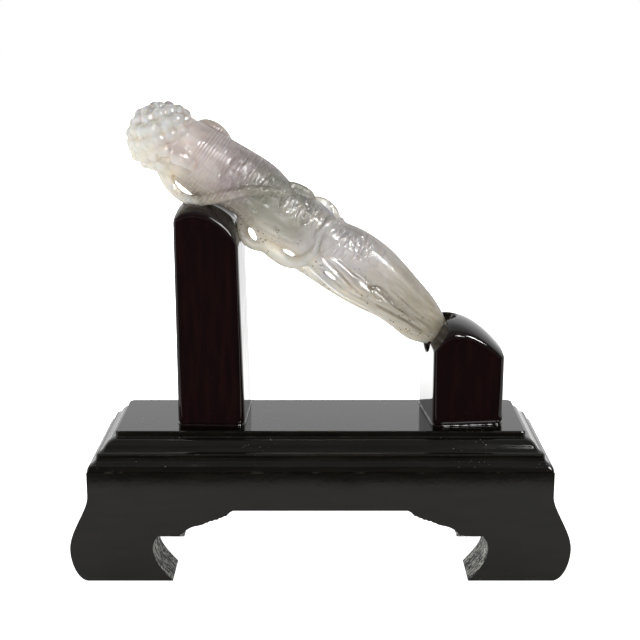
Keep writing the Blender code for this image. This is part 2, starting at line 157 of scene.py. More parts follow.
def finish_piece(piece, material, node):
    """Give a piece its finish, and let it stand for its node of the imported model."""
    piece.data.materials.clear()
    piece.data.materials.append(material)
    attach(piece, "root")
    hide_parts(node)
    print(piece.name, "has", sum(len(p.vertices) - 2 for p in piece.data.polygons), "triangles")


# %% [markdown]
# ## Node trees, written compactly
# Materials and Geometry Nodes are both graphs. One helper adds a node, sets its fields,
# and links an input when it is given another node's socket, so that a tree reads from
# top to bottom like a recipe. A few shorter ones stand for the nodes used most. They need
# no tree, because a socket knows the tree that it belongs to.

# %% Helpers for node trees


def colour(code):
    """A display colour such as 'd8d0c8' as the linear value that a shader wants."""
    parts = [int(code[k:k + 2], 16) / 255 for k in (0, 2, 4)]
    return (*[c / 12.92 if c < 0.04045 else ((c + 0.055) / 1.055) ** 2.4 for c in parts], 1.0)


def feed(tree, node, inputs):
    """Set inputs: a socket is linked, a colour code is turned into its colour."""
    for key, value in inputs.items():
        if isinstance(value, bpy.types.NodeSocket):
            tree.links.new(value, node.inputs[key])
        elif isinstance(value, str) and node.inputs[key].type == "RGBA":
            node.inputs[key].default_value = colour(value)
        else:
            node.inputs[key].default_value = value


def put(tree, kind, inputs=None, **settings):
    """Add a node with its fields set and its inputs fed."""
    made = tree.nodes.new(kind)
    for key, value in settings.items():
        setattr(made, key, value)
    feed(tree, made, inputs or {})
    return made


# %% Shorter helpers for the nodes used most


def object_place(tree):
    return put(tree, "ShaderNodeTexCoord").outputs["Object"]


def calculate(operation, first, second=0.0):
    tree = first.id_data
    return put(tree, "ShaderNodeMath", {0: first, 1: second}, operation=operation).outputs[0]


def times(*values):
    """The product of two or more values."""
    product = values[0]
    for value in values[1:]:
        product = calculate("MULTIPLY", product, value)
    return product


def band(value, low, high, start=0.0, end=1.0):
    """A value mapped smoothly from low..high to start..end."""
    return put(value.id_data, "ShaderNodeMapRange", {
        "Value": value, "From Min": low, "From Max": high, "To Min": start, "To Max": end},
        interpolation_type="SMOOTHSTEP").outputs[0]


def blend(factor, first, second):
    """The first colour where the factor is 0, the second where it is 1."""
    return put(factor.id_data, "ShaderNodeMix", {0: factor, 6: first, 7: second},
               data_type="RGBA").outputs[2]


def split(vector):
    """The X, Y and Z of a vector."""
    return list(put(vector.id_data, "ShaderNodeSeparateXYZ", {0: vector}).outputs)


def stretched(vector, scale):
    inputs = {"Vector": vector, "Scale": scale}
    return put(vector.id_data, "ShaderNodeMapping", inputs).outputs[0]


def noise(vector, scale, detail, **more):
    """A cloudy value between 0 and 1, at so many clouds per metre."""
    inputs = {"Vector": vector, "Scale": scale, "Detail": detail, **more}
    return put(vector.id_data, "ShaderNodeTexNoise", inputs).outputs["Fac"]


def new_material(name):
    """A material, its tree and its shader."""
    material = bpy.data.materials.new(name)
    material.use_nodes = True
    return material, material.node_tree, material.node_tree.nodes["Principled BSDF"]


def new_group(name, kind, sockets):
    """An empty node group with named sockets, given as (name, way, type, value)."""
    tree = bpy.data.node_groups.new(name, kind)
    for label, way, socket_type, value in sockets:
        socket = tree.interface.new_socket(label, in_out=way, socket_type=socket_type)
        if value is not None:
            socket.default_value = value
    return tree, tree.nodes.new("NodeGroupInput"), tree.nodes.new("NodeGroupOutput")


def end_in_finish(tree, geometry, tree_in, result):
    """End a Geometry Nodes tree: make its geometry real, and give it its finish."""
    real = put(tree, "GeometryNodeRealizeInstances", {"Geometry": geometry})
    dressed = put(tree, "GeometryNodeSetMaterial", {
        "Geometry": real.outputs["Geometry"], "Material": tree_in.outputs["Finish"]})
    tree.links.new(dressed.outputs["Geometry"], result)


def run_tree(piece, tree, **values):
    """Run a Geometry Nodes tree on a piece, with its inputs set by identifier."""
    modifier = piece.modifiers.new(tree.name, "NODES")
    modifier.node_group = tree
    for item in tree.interface.items_tree:
        if item.name in values:
            modifier[item.identifier] = values[item.name]
    return settle(piece)


# %% [markdown]
# ## Where the root lies
# The root rests in a groove of the tall post and ends in a seat of the short one. Those
# two places give its axis. All its forms are then drawn in the root's own measure, in
# millimetres: along the axis from the head, up from it, and back, away from the front.

# %% The root's own measure
POST_FLOOR = base_high.z + 0.3 * MM          # the glue line between post and base
SET_BACK = 1.5 * MM
TALL_X, TALL_WIDTH, TALL_HEIGHT, TALL_TURN = -29.6 * MM, 18.4, 61.0, -2.0
SHORT_X, SHORT_WIDTH, SHORT_HEIGHT, SHORT_TURN = 39.35 * MM, 19.6, 28.4, 6.0
SEAT = Vector((TALL_X, SET_BACK, POST_FLOOR + TALL_HEIGHT * MM + 7.44 * MM))
TIP = Vector((SHORT_X - 3.7 * MM, SET_BACK, POST_FLOOR + SHORT_HEIGHT * MM - 8.0 * MM))
TIP_STATION = 96.1
AXIS = (TIP - SEAT).normalized()
UP = Vector((-AXIS.z, 0.0, AXIS.x))
HEAD = TIP - AXIS * (TIP_STATION * MM)
TO_WORLD = np.array([AXIS, UP, (0, 1, 0)])
SLOPE = math.atan2(-AXIS.z, AXIS.x)
print("the root slopes down by", round(math.degrees(SLOPE), 1), "degrees")


def world(rows):
    """World places of (along, up, back) rows."""
    return np.array(HEAD) + np.array(rows, float)[:, :3] @ TO_WORLD * MM


def root_measure(points):
    """(along, up, back) in millimetres of world places."""
    return (points - np.array(HEAD)) @ TO_WORLD.T / MM


# %% [markdown]
# ## The root's members
# A jade cutter leaves the trunk, the legs and the rootlets as round members that melt
# into each other. Each is a line of stations with a thickness: (along, up, back,
# radius). One Geometry Nodes tree sweeps a circle along all the lines at once and scales
# it by the thickness stored on the points.

# %% Stations of the members
TRUNK = [(1, 0.5, 0, 7.0), (5, 0.7, 0, 8.0), (10, 1.2, 0, 8.6), (16, 1.3, 0, 9.1),
         (22, 2.4, 0, 8.6), (28, 2.7, 0, 8.6), (33, 1.7, 0, 8.6), (38, 1.5, 0, 8.3),
         (44, 2.7, 0, 7.7), (50, 2.4, 0, 7.7), (56, 3.2, 0, 7.2)]
MAIN_LEG = [(50, 2.6, 0, 7.2), (55, 3.7, 0, 6.9), (60, 4.7, 0, 6.9), (66, 5.0, 0, 6.7),
            (72, 4.6, 0, 6.1), (78, 4.0, 0, 5.3), (84, 3.2, 0, 4.6), (89, 2.0, 0, 3.7),
            (93, 0.9, 0, 2.5), (95.3, 0.4, 0, 1.2)]
FRONT_LEG = [(50, -1.0, -3.4, 4.0), (56, -1.6, -4.0, 4.3), (63, -2.3, -3.9, 4.0),
             (70, -1.8, -3.4, 3.6), (78, -1.5, -2.5, 3.2), (86, -1.3, -1.5, 2.7),
             (92, -0.6, -0.6, 1.8)]
BACK_LEG = [(50, -0.5, 3.4, 4.2), (58, -0.6, 4.0, 4.4), (66, -0.4, 3.8, 4.1),
            (75, -0.3, 3.0, 3.6), (84, -0.6, 2.0, 3.0), (92, -0.4, 0.7, 1.9)]
LOWER_LEG = [(46, -6.9, 0.5, 1.9), (52, -6.4, 0.2, 2.0), (58, -6.2, 0, 1.9),
             (64, -5.8, 0, 1.9), (70, -4.9, 0, 2.0), (75, -3.7, 0, 2.2),
             (80, -3.2, 0, 2.5), (86, -3.2, 0, 2.6), (91, -1.8, 0, 2.0)]
UPPER_ROOTLET = [(2.8, -5.2, -4.5, 2.0), (5.6, -7.4, -4.2, 1.8), (8.4, -9.0, -3.9, 1.6),
                 (11.2, -9.8, -3.8, 1.4), (13.8, -9.6, -4.2, 1.4),
                 (16.8, -8.0, -5.4, 1.5), (19.8, -4.9, -6.9, 1.5), (22.6, -1.4, -8.2, 1.5),
                 (26.0, 2.6, -8.9, 1.4), (30.6, 5.6, -8.0, 1.3), (35.0, 7.0, -6.6, 1.1)]
BAND = [(51.6, 10.2, -1.0, 0.9), (50.2, 9.2, -4.0, 1.1), (48.6, 7.4, -5.9, 1.2),
        (48.4, 4.6, -7.2, 1.2), (49.0, 2.2, -7.5, 1.2), (49.8, -0.6, -7.2, 1.3),
        (49.6, -3.6, -5.8, 1.5), (48.2, -6.2, -4.2, 1.7), (45.4, -7.6, -3.0, 1.9),
        (42.0, -7.7, -2.4, 2.1), (38.6, -7.2, -2.2, 2.2), (35.4, -6.0, -2.6, 2.2),
        (32.0, -4.2, -3.4, 2.0)]
LITTLE_ROOTLET = [(29.0, -5.4, -2.6, 1.3), (31.0, -7.6, -3.0, 1.2), (33.1, -9.3, -3.2, 1.1),
                  (35.6, -9.5, -3.0, 1.3), (38.4, -8.2, -2.6, 1.6)]
STUB = [(32.6, 7.6, -1.5, 1.2), (35.0, 9.6, -1.4, 1.3), (38.0, 10.3, -1.0, 1.5),
        (40.6, 10.3, -0.6, 1.4), (42.2, 9.2, -0.2, 1.0)]
LEAF = [(4.6, -1.8, -6.9, 1.6), (6.4, -1.4, -7.1, 2.3), (8.4, -1.0, -7.2, 2.0),
        (10.4, -0.9, -7.6, 1.3), (12.2, -0.8, -8.3, 0.5)]
WEB = [(3.4, -4.0, -4.0, 1.2), (5.6, -5.6, -3.9, 1.1), (7.4, -6.9, -3.8, 0.8)]
CHEEK = [(6.5, -5.3, -2.4, 1.1), (9.5, -6.3, -2.2, 1.25), (12.5, -6.6, -2.0, 1.3),
         (15.5, -6.7, -2.0, 1.3), (18.5, -5.8, -2.0, 1.0)]
LITTLE_WEB = [(30.5, -5.6, -2.2, 1.0), (33.2, -7.0, -2.3, 1.2), (36.5, -7.2, -2.2, 1.2)]
POUCH_WEB = [(42.2, -5.4, -1.6, 1.2), (45.0, -5.6, -1.8, 1.3), (48.0, -5.4, -2.0, 1.2)]
MEMBERS = [TRUNK, MAIN_LEG, FRONT_LEG, BACK_LEG, LOWER_LEG, UPPER_ROOTLET, BAND,
           LITTLE_ROOTLET, STUB, LEAF, WEB, CHEEK, LITTLE_WEB, POUCH_WEB]

# %% A mesh of lines that carries a thickness


def line_mesh(name, lines, closed=False):
    """Edges along each line of (x, y, z, thickness) rows, in metres."""
    rows = np.vstack(lines)
    edges = []
    start = 0
    for line in lines:
        count = len(line)
        edges += [(start + k, start + k + 1) for k in range(count - 1)]
        if closed:
            edges.append((start + count - 1, start))
        start += count
    mesh = bpy.data.meshes.new(name)
    mesh.from_pydata(rows[:, :3].tolist(), edges, [])
    thickness = mesh.attributes.new("thickness", "FLOAT", "POINT")
    thickness.data.foreach_set("value", rows[:, 3].astype(np.float32))
    return mesh


def member_lines(members, extra=0.0):
    lines = []
    for stations in members:
        rows = smooth_line(stations)
        lines.append(np.column_stack([world(rows), (rows[:, 3] + extra) * MM]))
    return lines


# %% Geometry Nodes: sweep a circle along lines
GEOMETRY, NUMBER = "NodeSocketGeometry", "NodeSocketInt"
sweep_tree, sweep_in, sweep_out = new_group("sweep_round_members", "GeometryNodeTree", [
    ("Lines", "INPUT", GEOMETRY, None), ("Sides", "INPUT", NUMBER, 24),
    ("Finish", "INPUT", "NodeSocketMaterial", None), ("Members", "OUTPUT", GEOMETRY, None)])
lines = put(sweep_tree, "GeometryNodeMeshToCurve", {"Mesh": sweep_in.outputs["Lines"]})
girth = put(sweep_tree, "GeometryNodeInputNamedAttribute", {"Name": "thickness"})
ring = put(sweep_tree, "GeometryNodeCurvePrimitiveCircle",
           {"Resolution": sweep_in.outputs["Sides"], "Radius": 1.0})
swept = put(sweep_tree, "GeometryNodeCurveToMesh", {
    "Curve": lines.outputs["Curve"], "Profile Curve": ring.outputs["Curve"],
    "Scale": girth.outputs["Attribute"], "Fill Caps": True})
end_in_finish(sweep_tree, swept.outputs["Mesh"], sweep_in, sweep_out.inputs["Members"])

# %% [markdown]
# ## The berry head
# The head of a ginseng root is carved as a cluster of berries. They sit evenly on a
# ball, which a golden-angle spiral gives with no gaps and no rows. Geometry Nodes puts
# one ball on each point, at the size stored there.

# %% Geometry Nodes: a berry on every point
berry_tree, berry_in, berry_out = new_group("berry_cluster", "GeometryNodeTree", [
    ("Points", "INPUT", GEOMETRY, None), ("Roundness", "INPUT", NUMBER, 3),
    ("Finish", "INPUT", "NodeSocketMaterial", None), ("Berries", "OUTPUT", GEOMETRY, None)])
points = put(berry_tree, "GeometryNodeMeshToPoints", {"Mesh": berry_in.outputs["Points"]})
size = put(berry_tree, "GeometryNodeInputNamedAttribute", {"Name": "thickness"})
ball = put(berry_tree, "GeometryNodeMeshIcoSphere",
           {"Radius": 1.0, "Subdivisions": berry_in.outputs["Roundness"]})
placed = put(berry_tree, "GeometryNodeInstanceOnPoints", {
    "Points": points.outputs["Points"], "Instance": ball.outputs["Mesh"],
    "Scale": size.outputs["Attribute"]})
end_in_finish(berry_tree, placed.outputs["Instances"], berry_in, berry_out.inputs["Berries"])

# %% Berry places
BERRY_COUNT, BERRY_RADIUS, CORE_SHARE = 74, 2.0, 0.84
HEAD_CENTRE, HEAD_RADIUS = np.array((-0.4, -0.3, 0.0)), 8.0
index = np.arange(BERRY_COUNT)
along = 2.0 * (index + 0.5) / BERRY_COUNT - 1.0
turn = index * math.pi * (3.0 - math.sqrt(5.0))
across = np.sqrt(1.0 - along ** 2)
berries = HEAD_CENTRE + HEAD_RADIUS * np.column_stack(
    [along, across * np.cos(turn), across * np.sin(turn)])
berry_size = BERRY_RADIUS * (1.0 + 0.10 * np.sin(2.3 * index))
berry_rows = np.column_stack([world(berries), berry_size * MM])
open_to_trunk = along > 0.52
berry_rows = berry_rows[~open_to_trunk]
core_row = np.array([[*world([HEAD_CENTRE])[0], CORE_SHARE * HEAD_RADIUS * MM]])
print(len(berry_rows), "berries round the head")

# %% [markdown]
# ## Flat lobes and see-through slits
# Two flat lobes stand up behind the trunk, and three slits are cut right through between
# the rootlets. Both are stretched balls: added for the lobes, cut away for the slits.

# %% Stretched balls
LOBES = [((10.4, 7.0, 2.8), (6.2, 4.3, 3.0), -4), ((46.8, 7.4, 4.6), (6.0, 4.5, 1.8), -8)]
SLITS = [((34.1, -7.4, -1.0), (2.0, 0.75, 10.0), -24),
         ((45.2, -5.7, -1.0), (1.9, 0.5, 10.0), 8),
         ((57.2, -4.6, 0.0), (3.2, 0.7, 10.0), -4)]
SLIT_SLOPE = 12


def stretched_balls(name, balls, slope=0.0):
    """Balls given as (centre, half sizes, turn in degrees) in the root's measure."""
    shape = bmesh.new()
    for centre, sizes, turn_angle in balls:
        made = bmesh.ops.create_uvsphere(shape, u_segments=32, v_segments=20, radius=1.0)
        a, b = math.radians(turn_angle), math.radians(slope)
        for vert in made["verts"]:
            x, y, z = (part * half for part, half in zip(vert.co, (sizes[0], sizes[2], sizes[1])))
            row = np.array(centre) + (x * math.cos(a) - z * math.sin(a),
                                      x * math.sin(a) + z * math.cos(a) - y * math.sin(b),
                                      y * math.cos(b))
            vert.co = world([row])[0]
    return as_mesh(name, shape)


# %% [markdown]
# ## One stone
# The members overlap, but the real root is one stone. A voxel remesh turns the heap of
# shells into one skin, a little smoothing gives the soft joints that polishing leaves,
# and the slits are cut last so that they stay crisp.

# %% Fuse, polish and pierce
VOXEL = 0.31 * MM
HEAD_END, HEAD_POLISH = 6.5, 0.35            # the berries end here, and stay crisp
members = add_object("members", line_mesh("members", member_lines(MEMBERS)))
run_tree(members, sweep_tree, Sides=32)
cluster = add_object("cluster", line_mesh("cluster", list(berry_rows[:, None])))
run_tree(cluster, berry_tree)
core = add_object("core", line_mesh("core", [core_row]))
run_tree(core, berry_tree, Roundness=4)
lobes = stretched_balls("lobes", LOBES)
fused = join_meshes("ginseng_root", [members.data, cluster.data, core.data, lobes])
remove(members, cluster, core)
root = add_object("ginseng_root", fused)
voxel_skin(root, "Fuse", VOXEL)
settle(root)
along = root_measure(positions(root.data))[:, 0]
body = root.vertex_groups.new(name="body")
for share, chosen in ((HEAD_POLISH, along < HEAD_END), (1.0, along >= HEAD_END)):
    body.add(np.nonzero(chosen)[0].tolist(), share, "REPLACE")
soften(root, "Polish", 3, "body")
slits = add_object("slits", stretched_balls("slits", SLITS, SLIT_SLOPE))
cut_away(root, "Pierce", slits)
settle(root)
remove(slits)

# %% [markdown]
# ## Sweeping up
# Where a cut runs almost along the skin it leaves slivers, flaps folded flat on
# themselves, and loose crumbs of a tenth of a millimetre. They don't show, but a clean
# mesh has none.

# %% Take slivers, flaps and crumbs away
SMALLEST_PART = 100
shape = bmesh.new()
shape.from_mesh(root.data)
bmesh.ops.remove_doubles(shape, verts=shape.verts, dist=0.02 * MM)
bmesh.ops.dissolve_degenerate(shape, edges=shape.edges, dist=0.005 * MM)
flaps = [point for point in shape.verts if len(point.link_edges) == 2]
bmesh.ops.dissolve_verts(shape, verts=flaps)
unseen = set(shape.verts)
crumbs = []
while unseen:
    part = [unseen.pop()]
    for point in part:
        for edge in point.link_edges:
            other = edge.other_vert(point)
            if other in unseen:
                unseen.discard(other)
                part.append(other)
    if len(part) < SMALLEST_PART:
        crumbs.extend(part)
bmesh.ops.delete(shape, geom=crumbs, context="VERTS")
open_edges = [edge for edge in shape.edges if len(edge.link_faces) != 2]
print(len(flaps), "flaps,", len(crumbs), "crumb points,", len(open_edges), "open edges left")
shape.to_mesh(root.data)
shape.free()
print("the fused root has", len(root.data.polygons), "faces")

# %% [markdown]
# ## Cutting the lines
# With the form there, the cutter draws the finer lines with a small wheel: the veins of
# the leaf, the furrows between the legs, the rims of the flaps. Each stroke is a line in
# the root's measure with a depth and a width. Points near it move in along their normal,
# and a negative depth leaves a raised ridge. Short nicks across the upper side follow a
# seeded random rule, because nobody places hundreds of them by hand. The depth is also
# stored on the mesh, so that the finish can darken the furrows.

# %% Strokes of the wheel, as (along, up) stations, depth and width
FRONT_STROKES = [
    # leaf: raised lower rim with a furrow under it, and its upper edge
    ([(5.0, -3.9), (6.9, -2.6), (9.1, -2.1), (11.2, -1.8), (12.3, -1.0)], -0.24, 0.40),
    ([(4.6, -4.9), (6.8, -3.6), (9.2, -3.0), (11.4, -2.7)], 0.40, 0.60),
    ([(12.1, -0.4), (10.3, 1.1), (8.2, 2.3), (5.8, 2.6)], 0.34, 0.50),
    ([(6.2, -0.6), (8.3, -0.5), (10.2, -0.8)], 0.16, 0.40),
    # rim of the upper lobe
    ([(6.2, 7.9), (8.9, 9.4), (11.0, 10.0), (13.4, 9.8), (15.2, 9.0)], 0.22, 0.45),
    ([(7.0, 6.2), (10.0, 7.4), (13.0, 7.6), (16.4, 6.9)], 0.16, 0.55),
    # rootlet across the trunk, split into two strands
    ([(19.6, -4.4), (22.4, -1.3), (23.6, 0.4), (25.8, 2.0), (28.4, 3.6)], 0.30, 0.40),
    ([(28.0, 4.4), (28.6, 7.0), (29.3, 9.0), (30.8, 10.4)], -0.22, 0.45),
    ([(26.9, 4.6), (27.4, 7.0), (28.2, 9.6)], 0.28, 0.70),
    ([(28.8, 2.9), (29.5, 0.5), (31.1, -1.7), (32.9, -3.7)], -0.18, 0.45),
    # stub on top of the trunk, and the third lobe behind it
    ([(32.4, 6.6), (35.0, 8.2), (38.0, 8.8), (41.0, 8.4), (43.0, 7.4)], 0.40, 0.55),
    ([(41.4, 8.9), (43.7, 9.9), (46.4, 10.2), (49.2, 9.4), (51.0, 8.2)], 0.25, 0.50),
    # the band that crosses the root
    ([(47.9, 9.4), (47.2, 7.0), (46.9, 5.0), (47.4, 3.0), (48.4, 1.6), (48.8, -1.4)], 0.34, 0.55),
    ([(51.6, 8.4), (50.4, 6.6), (50.2, 4.4), (50.8, 2.2), (51.6, 0.2), (51.4, -3.0)], 0.30, 0.60),
    # pouch under the middle of the root
    ([(37.2, -0.6), (38.5, -1.8), (40.1, -2.9), (42.1, -3.1), (44.8, -2.2), (47.0, -0.4)],
     0.30, 0.50),
    ([(33.3, -1.6), (35.6, -1.7), (38.4, -1.3), (41.4, -0.9), (43.9, 0.3), (45.4, 2.8)],
     0.24, 0.60),
    ([(31.6, -6.0), (34.3, -4.7), (37.3, -4.1), (40.5, -4.4), (43.6, -4.7)], 0.30, 0.55),
    # furrows between the legs
    ([(52.4, 0.4), (54.4, -0.4), (58.6, -1.0), (62.7, -1.8), (65.9, -2.3), (72.4, -2.5),
      (76.7, -2.0), (81.4, -1.5), (86.4, -1.3), (91.0, -0.9)], 0.62, 0.62),
    ([(54.3, 0.9), (57.8, 1.1), (61.0, 0.7), (63.4, 0.6), (66.0, 1.3), (68.7, 1.9)], -0.26, 0.70),
    ([(67.6, 0.3), (68.7, 1.2), (70.8, 1.9), (73.9, 1.2), (76.5, 0.5), (78.4, 0.2),
      (81.7, 0.4), (86.2, 0.7), (90.0, 0.5)], 0.48, 0.50),
    ([(68.7, 1.2), (69.6, -0.1), (71.5, -0.8), (72.8, -0.2)], 0.34, 0.45),
    ([(72.5, 3.6), (76.3, 3.0), (80.2, 2.3), (83.9, 2.0), (88.6, 1.5)], 0.36, 0.45),
    ([(71.8, 6.2), (75.9, 5.8), (80.8, 5.1), (84.9, 4.2), (88.8, 3.0)], 0.26, 0.45),
    ([(66.4, 5.6), (70.8, 5.4), (74.4, 4.9), (78.1, 4.4)], 0.20, 0.45),
    ([(52.0, -3.2), (55.0, -3.4), (61.4, -4.1), (65.6, -4.0), (70.2, -3.4), (74.0, -3.9)],
     0.40, 0.55),
    ([(78.0, -3.5), (81.4, -3.0), (85.0, -2.6), (89.4, -1.9)], 0.30, 0.45)]
BACK_STROKES = [
    ([(52, 0.8), (60, 0.2), (68, -0.6), (76, -0.9), (84, -0.8), (90, -0.7)], 0.60, 0.65),
    ([(64, 3.4), (71, 3.2), (79, 2.4), (86, 1.6)], 0.36, 0.50),
    ([(55, -3.8), (62, -4.2), (69, -3.7), (76, -3.4), (84, -2.6)], 0.40, 0.55),
    ([(6, 6.0), (10, 7.6), (14, 7.4), (17, 6.0)], 0.28, 0.60),
    ([(41.4, 8.6), (45.0, 9.6), (48.4, 9.0), (51.4, 7.2)], 0.26, 0.55),
    ([(28, 9.0), (30, 5.6), (33, 2.4), (37, -1.0), (40, -3.6)], 0.26, 0.60)]

# %% Short nicks across the root's upper side
chance = np.random.default_rng(11)


def nicks(count, first, last, low, high):
    """Short strokes across the root between two stations and two heights."""
    made = []
    for start in zip(chance.uniform(first, last, count), chance.uniform(low, high, count)):
        reach = chance.uniform(0.9, 2.2)
        lean = chance.uniform(-0.35, 0.15)
        line = [start, (start[0] + lean * reach * 0.5, start[1] + reach * 0.5),
                (start[0] + lean * reach, start[1] + reach)]
        made.append((line, chance.uniform(0.14, 0.32), chance.uniform(0.25, 0.36)))
    return made


NICKS = (nicks(60, 17.5, 24.5, 0.5, 8.0) + nicks(70, 29.0, 45.0, 3.4, 7.6)
         + nicks(60, 52.5, 66.5, 4.6, 9.4))

# %% Cut them
TAPER = 7.0                                  # full depth after a seventh of a stroke


def cut_strokes(mesh, strokes, side):
    """Move points along their normal near each stroke. Side is -1 in front, 1 behind."""
    points = positions(mesh)
    measure = root_measure(points)
    normals = np.empty(len(mesh.vertices) * 3)
    mesh.vertex_normals.foreach_get("vector", normals)
    normals = normals.reshape(-1, 3)
    facing = np.clip(normals[:, 1] * side * 2.0, 0.0, 1.0) * (measure[:, 2] * side > -1.0)
    depth = np.zeros(len(points))
    for stations, deepest, width in strokes:
        line = smooth_line(stations, 12)
        near = facing > 0
        for axis in (0, 1):
            near &= measure[:, axis] > line[:, axis].min() - 3 * width
            near &= measure[:, axis] < line[:, axis].max() + 3 * width
        ids = np.nonzero(near)[0]
        gaps = np.linalg.norm(measure[ids][:, None, :2] - line[None], axis=2)
        nearest = gaps.argmin(axis=1)
        share = nearest / (len(line) - 1)
        taper = np.sqrt(np.clip(np.minimum(share, 1 - share) * TAPER, 0.0, 1.0))
        depth[ids] += deepest * taper * np.exp(-(gaps.min(axis=1) / width) ** 2)
    depth *= facing
    set_positions(mesh, points - normals * depth[:, None] * MM)
    return np.clip(depth, 0.0, 1.0)


furrow = cut_strokes(root.data, FRONT_STROKES, -1)
furrow = np.maximum(furrow, cut_strokes(root.data, BACK_STROKES, 1))
for nick_side in (-1, 1):
    cut_strokes(root.data, NICKS, nick_side)
stored = root.data.attributes.new("furrow", "FLOAT", "POINT")
stored.data.foreach_set("value", furrow.astype(np.float32))
root.data.shade_smooth()
print(len(FRONT_STROKES) + len(BACK_STROKES), "strokes and", len(NICKS), "nicks")

# %% [markdown]
# ## Shared effects
# Dust and rubbed edges show on more than one piece, so each is a node group with named
# inputs. A group gives back a mask only. The material decides what the mask does.

# %% Group: fine specks
VALUE = "NodeSocketFloat"
specks_group, specks_in, specks_out = new_group("fine_specks", "ShaderNodeTree", [
    ("Spacing per metre", "INPUT", VALUE, 900.0), ("Size", "INPUT", VALUE, 0.18),
    ("Patchiness", "INPUT", VALUE, 0.5), ("Patches per metre", "INPUT", VALUE, 60.0),
    ("Mask", "OUTPUT", VALUE, None)])
where = object_place(specks_group)
cells = put(specks_group, "ShaderNodeTexVoronoi", {
    "Vector": where, "Scale": specks_in.outputs["Spacing per metre"]})
patches = noise(where, specks_in.outputs["Patches per metre"], 2.0)
draw = put(specks_group, "ShaderNodeSeparateColor", {"Color": cells.outputs["Color"]})
rare = calculate("GREATER_THAN", draw.outputs[0], 0.55)
grain = calculate("LESS_THAN", cells.outputs["Distance"],
                  times(specks_in.outputs["Size"], draw.outputs[1]))
patch = calculate("GREATER_THAN", patches, specks_in.outputs["Patchiness"])
specks_group.links.new(times(grain, rare, patch), specks_out.inputs["Mask"])

# %% Group: rubbed edges
edge_group, edge_in, edge_out = new_group("rubbed_edges", "ShaderNodeTree", [
    ("Width", "INPUT", VALUE, 0.0004), ("Breaks per metre", "INPUT", VALUE, 300.0),
    ("Mask", "OUTPUT", VALUE, None)])
rounded = put(edge_group, "ShaderNodeBevel", {"Radius": edge_in.outputs["Width"]}, samples=4)
flat = put(edge_group, "ShaderNodeNewGeometry")
match = put(edge_group, "ShaderNodeVectorMath", {
    0: rounded.outputs["Normal"], 1: flat.outputs["Normal"]}, operation="DOT_PRODUCT")
edge = band(match.outputs["Value"], 0.985, 0.90)
breaks = noise(object_place(edge_group), edge_in.outputs["Breaks per metre"], 3.0)
worn = times(edge, band(breaks, 0.50, 0.66))
edge_group.links.new(worn, edge_out.inputs["Mask"])

# %% [markdown]
# ## Pale jadeite
# The stone is milky: light goes in and comes out again a few millimetres away, which
# subsurface scattering gives. Its colour drifts from a rosy white head through blue-grey
# to a warm grey tip, with cloudy veins and a few dark specks. Light from below is painted
# into the colour too: a pale glowing underside with pale flecks, warm grey painted shade
# under the thick middle, and whiter thin lobes. Two kinds of cut marks break the
# highlight: fine rings round the upper trunk, and short hatching further down.

# %% The jade's colours


def root_place(tree):
    """Object coordinates turned and centred to the root's own measure, in metres."""
    turned = Matrix.Rotation(-SLOPE, 3, "Y") @ HEAD
    return put(tree, "ShaderNodeMapping", {
        "Vector": object_place(tree), "Location": -turned, "Rotation": (0.0, -SLOPE, 0.0)},
        vector_type="POINT").outputs["Vector"]


def jade_colour_and_painted_glow(tree, place, cloud):
    """The drift of colour along the root, and painted light: a glowing underside, painted shade
    under the thick middle, and whiter thin lobes.
    """
    along, back, up = split(place)
    drift = calculate("ADD", along, times(calculate("SUBTRACT", cloud, 0.5), 0.03))
    ramp = put(tree, "ShaderNodeValToRGB", {"Fac": band(drift, -0.010, 0.097)})
    stops = [(0.00, "fffcf7"), (0.07, "e3d7d2"), (0.22, "bbafad"), (0.34, "99988b"),
             (0.46, "bdbab1"), (0.66, "e0dbdb"), (0.90, "c9c2b5"), (1.00, "b5ad98")]
    for position, code in stops[1:-1]:
        ramp.color_ramp.elements.new(position).color = colour(code)
    ramp.color_ramp.elements[0].color = colour(stops[0][1])
    ramp.color_ramp.elements[-1].color = colour(stops[-1][1])
    # Painted light from below: the underside turns pale cream under the head, the legs and the
    # lowest edge, where thin stone glows with light through it, and warm grey painted shade under
    # the thick middle.
    glowing_part = calculate("MAXIMUM", band(along, 0.026, 0.038), band(along, 0.012, 0.007))
    glowing_part = calculate("MAXIMUM", glowing_part, band(up, -0.0072, -0.0084))
    painted_underlight = blend(glowing_part, "b5ad9c", "fbf3e4")
    under = band(up, 0.001, -0.006)
    tint = blend(times(under, 0.8), ramp.outputs["Color"], painted_underlight)
    # Painted glow: the thin lobes behind the trunk turn almost white, as light shines through
    # them.
    thin_lobe_glow = times(band(back, 0.0010, 0.0030), band(up, 0.0055, 0.0075, 0.0, 0.85))
    return blend(thin_lobe_glow, tint, "fffcf8")


